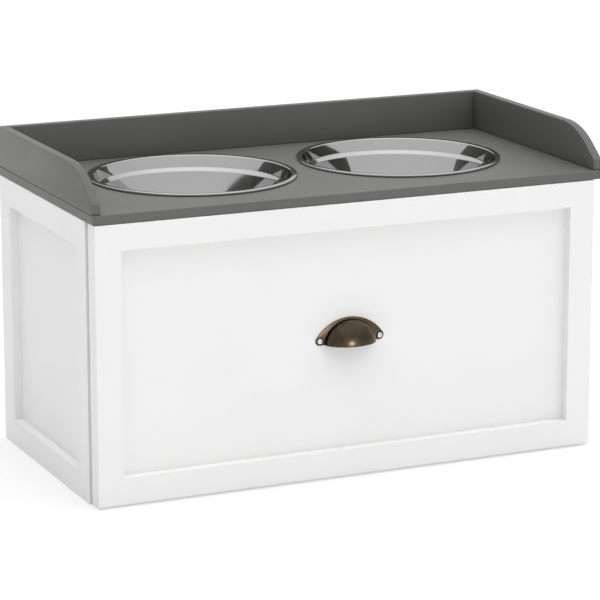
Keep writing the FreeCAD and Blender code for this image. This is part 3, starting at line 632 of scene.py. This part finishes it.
def blend(tree, factor, first, second):
    """A colour between two others."""
    return add(tree, "ShaderNodeMix", {"Factor": factor, 6: first, 7: second}, data_type="RGBA"), 2


def group_tree(name, inputs, outputs):
    """A node group with named sockets, and its input and output nodes."""
    tree = bpy.data.node_groups.new(name, "ShaderNodeTree")
    for socket, kind, value in inputs:
        made = tree.interface.new_socket(name=socket, in_out="INPUT", socket_type="NodeSocket" + kind)
        made.default_value = value
    for socket, kind in outputs:
        tree.interface.new_socket(name=socket, in_out="OUTPUT", socket_type="NodeSocket" + kind)
    return tree, tree.nodes.new("NodeGroupInput"), tree.nodes.new("NodeGroupOutput")


# Finishes

def paint_film():
    """Sprayed paint: a slow drift of tone, an orange peel, and specks of dust that went into the film."""
    tree, given, out = group_tree(
        "paint film",
        [
            ("Light Tone", "Color", (0.8, 0.8, 0.8, 1)),
            ("Deep Tone", "Color", (0.7, 0.7, 0.7, 1)),
            ("Drift Scale", "Float", 6.0),
            ("Peel Scale", "Float", 260.0),
            ("Peel Depth", "Float", 0.1),
            ("Sheen", "Float", 0.4),
        ],
        [("Color", "Color"), ("Roughness", "Float"), ("Normal", "Vector")],
    )
    place = object_place(tree)
    drift = noise(tree, place, (given, "Drift Scale"), Detail=4.0, Roughness=0.55)
    tone = ranged(tree, drift, *TONE_SPREAD)
    peel = noise(tree, place, (given, "Peel Scale"), Detail=2.0, Roughness=0.5)
    speck = add(tree, "ShaderNodeTexVoronoi", {"Vector": place, "Scale": SPECK_SCALE, "Randomness": 1.0})
    dot = ranged(tree, (speck, "Distance"), 0.0, SPECK_REACH, SPECK_HEIGHT, 0.0)
    feed(tree, out, {
        "Color": blend(tree, tone, (given, "Light Tone"), (given, "Deep Tone")),
        "Roughness": calc(tree, "ADD", (given, "Sheen"), calc(tree, "MULTIPLY", drift, SHEEN_DRIFT)),
        "Normal": bump(tree, calc(tree, "ADD", peel, dot), (given, "Peel Depth"), FILM_BUMP),
    })
    return tree


def metal_grain():
    """Worked metal: fine lines drawn out one way, and a cloudy change of tone and polish."""
    tree, given, out = group_tree(
        "metal grain",
        [
            ("Place", "Vector", (0, 0, 0)),
            ("Line Scale", "Float", 300.0),
            ("Cloud Scale", "Float", 12.0),
            ("Least Roughness", "Float", 0.1),
            ("Most Roughness", "Float", 0.3),
            ("Depth", "Float", 0.1),
        ],
        [("Roughness", "Float"), ("Cloud", "Float"), ("Normal", "Vector")],
    )
    lines = noise(tree, (given, "Place"), (given, "Line Scale"), Detail=3.0, Roughness=0.6)
    cloud = noise(
        tree, object_place(tree), (given, "Cloud Scale"), Detail=4.0, Roughness=0.55, Distortion=0.4
    )
    polish = ranged(
        tree, calc(tree, "MULTIPLY", lines, cloud), *POLISH_SPREAD,
        (given, "Least Roughness"), (given, "Most Roughness"),
    )
    feed(tree, out, {
        "Roughness": polish,
        "Cloud": cloud,
        "Normal": bump(tree, lines, (given, "Depth"), GRAIN_BUMP),
    })
    return tree


def new_material(name, **plain):
    """A material with its surface shader, with the values that are the same all over."""
    material = bpy.data.materials.new(name)
    material.use_nodes = True
    surface = material.node_tree.nodes["Principled BSDF"]
    feed(material.node_tree, surface, {socket.replace("_", " "): value for socket, value in plain.items()})
    return material, material.node_tree, surface


def painted(name, light, deep, peel_scale, peel_depth, sheen, **plain):
    material, tree, surface = new_material(name, **plain)
    film = add(tree, "ShaderNodeGroup", {
        "Light Tone": (*light, 1), "Deep Tone": (*deep, 1), "Peel Scale": peel_scale,
        "Peel Depth": peel_depth, "Sheen": sheen,
    }, node_tree=paint_group)
    feed(tree, surface, {
        "Base Color": (film, "Color"), "Roughness": (film, "Roughness"), "Normal": (film, "Normal"),
    })
    return material


def grain(tree, place, line_scale, cloud_scale, roughness, depth):
    least, most = roughness
    return add(tree, "ShaderNodeGroup", {
        "Place": place, "Line Scale": line_scale, "Cloud Scale": cloud_scale,
        "Least Roughness": least, "Most Roughness": most, "Depth": depth,
    }, node_tree=grain_group)


def finish_metal(tree, surface, worked, colour):
    feed(tree, surface, {
        "Base Color": colour, "Roughness": (worked, "Roughness"), "Normal": (worked, "Normal"),
    })


def stainless(name, centre):
    """Polished steel, spun: its fine lines run round the bowl's own axis."""
    material, tree, surface = new_material(name, Metallic=1.0)
    moved = add(tree, "ShaderNodeMapping", {
        "Vector": object_place(tree), "Location": (-centre[0], -centre[1], 0),
    })
    parts = add(tree, "ShaderNodeSeparateXYZ", {"Vector": (moved, "Vector")})
    turn = calc(tree, "ARCTAN2", (parts, "Y"), (parts, "X"))
    flat = add(tree, "ShaderNodeCombineXYZ", {"X": (parts, "X"), "Y": (parts, "Y")})
    spun = add(tree, "ShaderNodeCombineXYZ", {
        "X": length(tree, (flat, "Vector")), "Y": calc(tree, "MULTIPLY", turn, SPUN_TURN), "Z": (parts, "Z"),
    })
    worked = grain(
        tree, (spun, "Vector"), line_scale=1400.0, cloud_scale=14.0, roughness=(0.03, 0.09), depth=0.02
    )
    finish_metal(tree, surface, worked, blend(tree, (worked, "Cloud"), *STEEL_TONES))
    return material


def plated(name, pale, deep, roughness, stretch):
    """Plated or cast steel with a cloudy tone, its lines drawn out by a stretch along the axes."""
    material, tree, surface = new_material(name, Metallic=1.0)
    drawn = add(tree, "ShaderNodeMapping", {"Vector": object_place(tree), "Scale": stretch})
    worked = grain(
        tree, (drawn, "Vector"), line_scale=500.0, cloud_scale=160.0, roughness=roughness, depth=0.15
    )
    finish_metal(tree, surface, worked, blend(tree, (worked, "Cloud"), (*deep, 1), (*pale, 1)))
    return material


def dark_bronze():
    """Antiqued bronze: brown metal with clouds, painted shade round the dome's foot and round the screws."""
    mouth = pull_middle() - Vector((0, 0, PULL_EAR))
    material, tree, surface = new_material("dark bronze", Metallic=0.85, Coat_Weight=0.2, Coat_Roughness=0.2)
    place = object_place(tree)
    worked = grain(
        tree, place, line_scale=700.0, cloud_scale=60.0, roughness=(0.24, 0.33), depth=0.04
    )
    moved = calc_vector(tree, "ADD", place, tuple(-mouth))
    reach = length(tree, calc_vector(tree, "MULTIPLY", moved, (1 / PULL_DOME[0], 0, 1 / PULL_DOME[2])))
    # Painted contact shade: a thin dark line round the dome's foot
    off_line = calc(tree, "ABSOLUTE", calc(tree, "SUBTRACT", reach, FOOT_LINE))
    line = ranged(tree, off_line, *FOOT_LINE_EDGE, 1.0, 0.0)
    # Painted shadows on the flange round each screw head
    one_side = calc_vector(tree, "ABSOLUTE", moved)
    from_screw = calc_vector(tree, "SUBTRACT", one_side, (PULL_SCREW_REACH, 0, PULL_EAR))
    apart = length(tree, calc_vector(tree, "MULTIPLY", from_screw, (1, 0, 1)))
    seat = ranged(tree, apart, *SEAT_EDGE, SEAT_DARKNESS, 0.0)
    brown = blend(tree, ranged(tree, (worked, "Cloud"), *CLOUD_SPREAD), *BRONZE_TONES)
    # The dome painted darker than its flange
    dome_darker = add(tree, "ShaderNodeVectorMath", {
        0: brown, "Scale": ranged(tree, reach, *DOME_DARKER_REACH, DOME_DARKER_TONE, 1.0),
    }, operation="SCALE")
    # The painted shade and shadows, laid over the brown in near-black
    dark = calc(tree, "MAXIMUM", line, seat)
    finish_metal(tree, surface, worked, blend(tree, dark, (dome_darker, "Vector"), SHADE_BLACK))
    return material


def beech():
    """Turned beech: short darker flecks along the grain over a slow change of tone."""
    material, tree, surface = new_material("beech")
    drawn = add(tree, "ShaderNodeMapping", {"Vector": object_place(tree), "Scale": BEECH_STRETCH})
    fleck = noise(tree, (drawn, "Vector"), 1.0, Detail=5.0, Roughness=0.6)
    ramp = add(tree, "ShaderNodeValToRGB", {"Fac": fleck})
    for stop, (position, colour) in zip(ramp.color_ramp.elements, BEECH_STOPS):
        stop.position = position
        stop.color = colour
    feed(tree, surface, {
        "Base Color": (ramp, "Color"),
        "Roughness": ranged(tree, fleck, 0.0, 1.0, *BEECH_ROUGHNESS),
        "Normal": bump(tree, fleck, strength=0.2, distance=FILM_BUMP),
    })
    return material


def dress(piece, material):
    piece.data.materials.clear()
    piece.data.materials.append(material)


def finish_piece(piece, material, body, slot, *nodes):
    dress(piece, material)
    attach(piece, body)
    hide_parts(*nodes)


# Stage

def mirrored_ray(tree, rays):
    """1 for the rays that a glossy or clear surface sends out."""
    return calc(tree, "MAXIMUM", (rays, "Is Glossy Ray"), (rays, "Is Transmission Ray"))


def mix_shader(tree, factor, first, second):
    return add(tree, "ShaderNodeMixShader", {0: factor, 1: first, 2: second}), "Shader"


def floor_material():
    """A pale floor, partly plain white where it is seen or mirrored, so that its shadows stay light."""
    material, tree, surface = new_material(
        "pale floor", Base_Color=(FLOOR_GREY, FLOOR_GREY, FLOOR_GREY, 1), Roughness=0.9,
        Specular_IOR_Level=0.1,
    )
    rays = add(tree, "ShaderNodeLightPath")
    seen = calc(tree, "MAXIMUM", (rays, "Is Camera Ray"), mirrored_ray(tree, rays))
    white = add(tree, "ShaderNodeEmission", {"Color": (1, 1, 1, 1), "Strength": 1.0})
    share = calc(tree, "MULTIPLY", seen, FLOOR_WHITE_SHARE)
    feed(tree, tree.nodes["Material Output"], {
        "Surface": mix_shader(tree, share, (surface, "BSDF"), (white, "Emission")),
    })
    return material


def stage():
    clear_selection()
    bpy.ops.mesh.primitive_plane_add(size=FLOOR_SIZE, location=(0, 0, -FLOOR_DROP))
    floor = named("floor")
    dress(floor, floor_material())


def soft_light(tree, toward, strength, narrowness):
    """The strength of a wide soft light in a direction, which fades with the cosine to its side."""
    place = add(tree, "ShaderNodeTexCoord")
    facing = add(tree, "ShaderNodeVectorMath", {
        0: (place, "Generated"), 1: Vector(toward).normalized(),
    }, operation="DOT_PRODUCT")
    lit = calc(tree, "MAXIMUM", (facing, "Value"), 0.0)
    return calc(tree, "MULTIPLY", calc(tree, "POWER", lit, narrowness), strength)


def white_light(tree, strength):
    return add(tree, "ShaderNodeBackground", {"Color": (1, 1, 1, 1), "Strength": strength}), "Background"


def sky():
    """Soft light from above, the right and the front, and white where the studio is seen or mirrored."""
    world = bpy.data.worlds.new("studio")
    bpy.context.scene.world = world
    world.use_nodes = True
    tree = world.node_tree
    tree.nodes.clear()
    rays = add(tree, "ShaderNodeLightPath")
    level = soft_light(tree, *SOFT_LIGHTS[0])
    for light in SOFT_LIGHTS[1:]:
        level = calc(tree, "ADD", level, soft_light(tree, *light))
    overhead = soft_light(tree, OVERHEAD, MIRROR_ZENITH - MIRROR_HORIZON, MIRROR_NARROWNESS)
    mirror_level = calc(tree, "ADD", overhead, MIRROR_HORIZON)
    unseen = mix_shader(
        tree, mirrored_ray(tree, rays), white_light(tree, level), white_light(tree, mirror_level)
    )
    whole = mix_shader(tree, (rays, "Is Camera Ray"), unseen, white_light(tree, 1.0))
    add(tree, "ShaderNodeOutputWorld", {"Surface": whole})


def small_lamp(lit_piece):
    """A small round lamp in front of a piece, which lights that piece alone."""
    clear_selection()
    bpy.ops.object.light_add(type="AREA", location=LAMP_PLACE)
    lamp = bpy.context.object
    lamp.name = "small_lamp"
    lamp.data.shape = "DISK"
    lamp.data.size = LAMP_SIZE
    lamp.data.energy = LAMP_POWER
    lamp.rotation_mode = "QUATERNION"
    lamp.rotation_quaternion = (Vector(LAMP_PLACE) - Vector(LAMP_TARGET)).to_track_quat("Z", "Y")
    receivers = bpy.data.collections.new("small_lamp_receivers")
    receivers.objects.link(lit_piece)
    lamp.light_linking.receiver_collection = receivers


def camera():
    clear_selection()
    pitch, yaw = math.radians(CAMERA_PITCH), math.radians(CAMERA_YAW)
    bpy.ops.object.camera_add(location=CAMERA_PLACE, rotation=(math.pi / 2 - pitch, 0, -yaw))
    made = bpy.context.object
    made.data.sensor_width = CAMERA_SENSOR
    made.data.lens = CAMERA_LENS
    made.data.clip_start, made.data.clip_end = CAMERA_RANGE
    bpy.context.scene.camera = made


bpy.context.scene.view_settings.view_transform = "Standard"
camera()
stage()
sky()

paint_group = paint_film()
grain_group = metal_grain()

finishes = {
    "white_paint": painted(
        "white paint", light=(0.878, 0.880, 0.875), deep=(0.860, 0.862, 0.857),
        peel_scale=300.0, peel_depth=0.10, sheen=0.36,
    ),
    "grey_paint": painted(
        "grey paint", light=(0.133, 0.135, 0.125), deep=(0.125, 0.127, 0.117),
        peel_scale=300.0, peel_depth=0.12, sheen=0.38, Specular_IOR_Level=0.3,
    ),
    "white_board": painted(
        "white faced board", light=(0.84, 0.842, 0.835), deep=(0.82, 0.822, 0.815),
        peel_scale=900.0, peel_depth=0.25, sheen=0.5,
    ),
    "white_steel": painted(
        "white coated steel", light=(0.86, 0.86, 0.85), deep=(0.84, 0.84, 0.83),
        peel_scale=700.0, peel_depth=0.3, sheen=0.3,
    ),
    "nylon": painted(
        "nylon", light=(0.84, 0.84, 0.81), deep=(0.80, 0.80, 0.76),
        peel_scale=400.0, peel_depth=0.06, sheen=0.25,
    ),
    "zinc_steel": plated(
        "zinc plated steel", pale=(0.70, 0.70, 0.68), deep=(0.54, 0.54, 0.53),
        roughness=(0.2, 0.42), stretch=(1, 1, 6),
    ),
    "zinc_casting": plated(
        "zinc casting", pale=(0.56, 0.56, 0.56), deep=(0.44, 0.44, 0.45),
        roughness=(0.38, 0.6), stretch=(1, 1, 1),
    ),
    "bright_steel": plated(
        "bright steel", pale=(0.86, 0.85, 0.83), deep=(0.74, 0.73, 0.71),
        roughness=(0.12, 0.25), stretch=(1, 1, 1),
    ),
    "dark_bronze": dark_bronze(),
    "beech": beech(),
}
for part in frame["record"]["subparts"]:
    if part["material_slot"] in finishes:
        dress(frame["nodes"][part["node"]], finishes[part["material_slot"]])

left_bowl = bowl("bowl_left")
right_bowl = copied(left_bowl, "steel_bowl_right", bowl_middle("bowl_right") - bowl_middle("bowl_left"))
for side, piece in (("left", left_bowl), ("right", right_bowl)):
    node_name = "bowl_" + side
    steel = stainless("stainless steel " + side, bowl_middle(node_name))
    finish_piece(piece, steel, node_name, "stainless", node_name)
    dress(frame["nodes"][node_name], steel)

left_upstand = side_upstand("upstand_left")
gap = Vector(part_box("upstand_right")[0]) - Vector(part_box("upstand_left")[0])
right_upstand = copied(left_upstand, "curved_upstand_right", gap)
grey_paint = finishes["grey_paint"]
finish_piece(left_upstand, grey_paint, "cabinet", "grey_paint", "upstand_left")
finish_piece(right_upstand, grey_paint, "cabinet", "grey_paint", "upstand_right")
finish_piece(back_upstand("upstand_back"), grey_paint, "cabinet", "grey_paint", "upstand_back")

pull = cup_pull()
small_lamp(pull)
finish_piece(pull, finishes["dark_bronze"], "drawer", "dark_bronze", "cup_pull")
finish_piece(pull_screws(), finishes["bright_steel"], "drawer", "bright_steel", "cup_pull_screws")
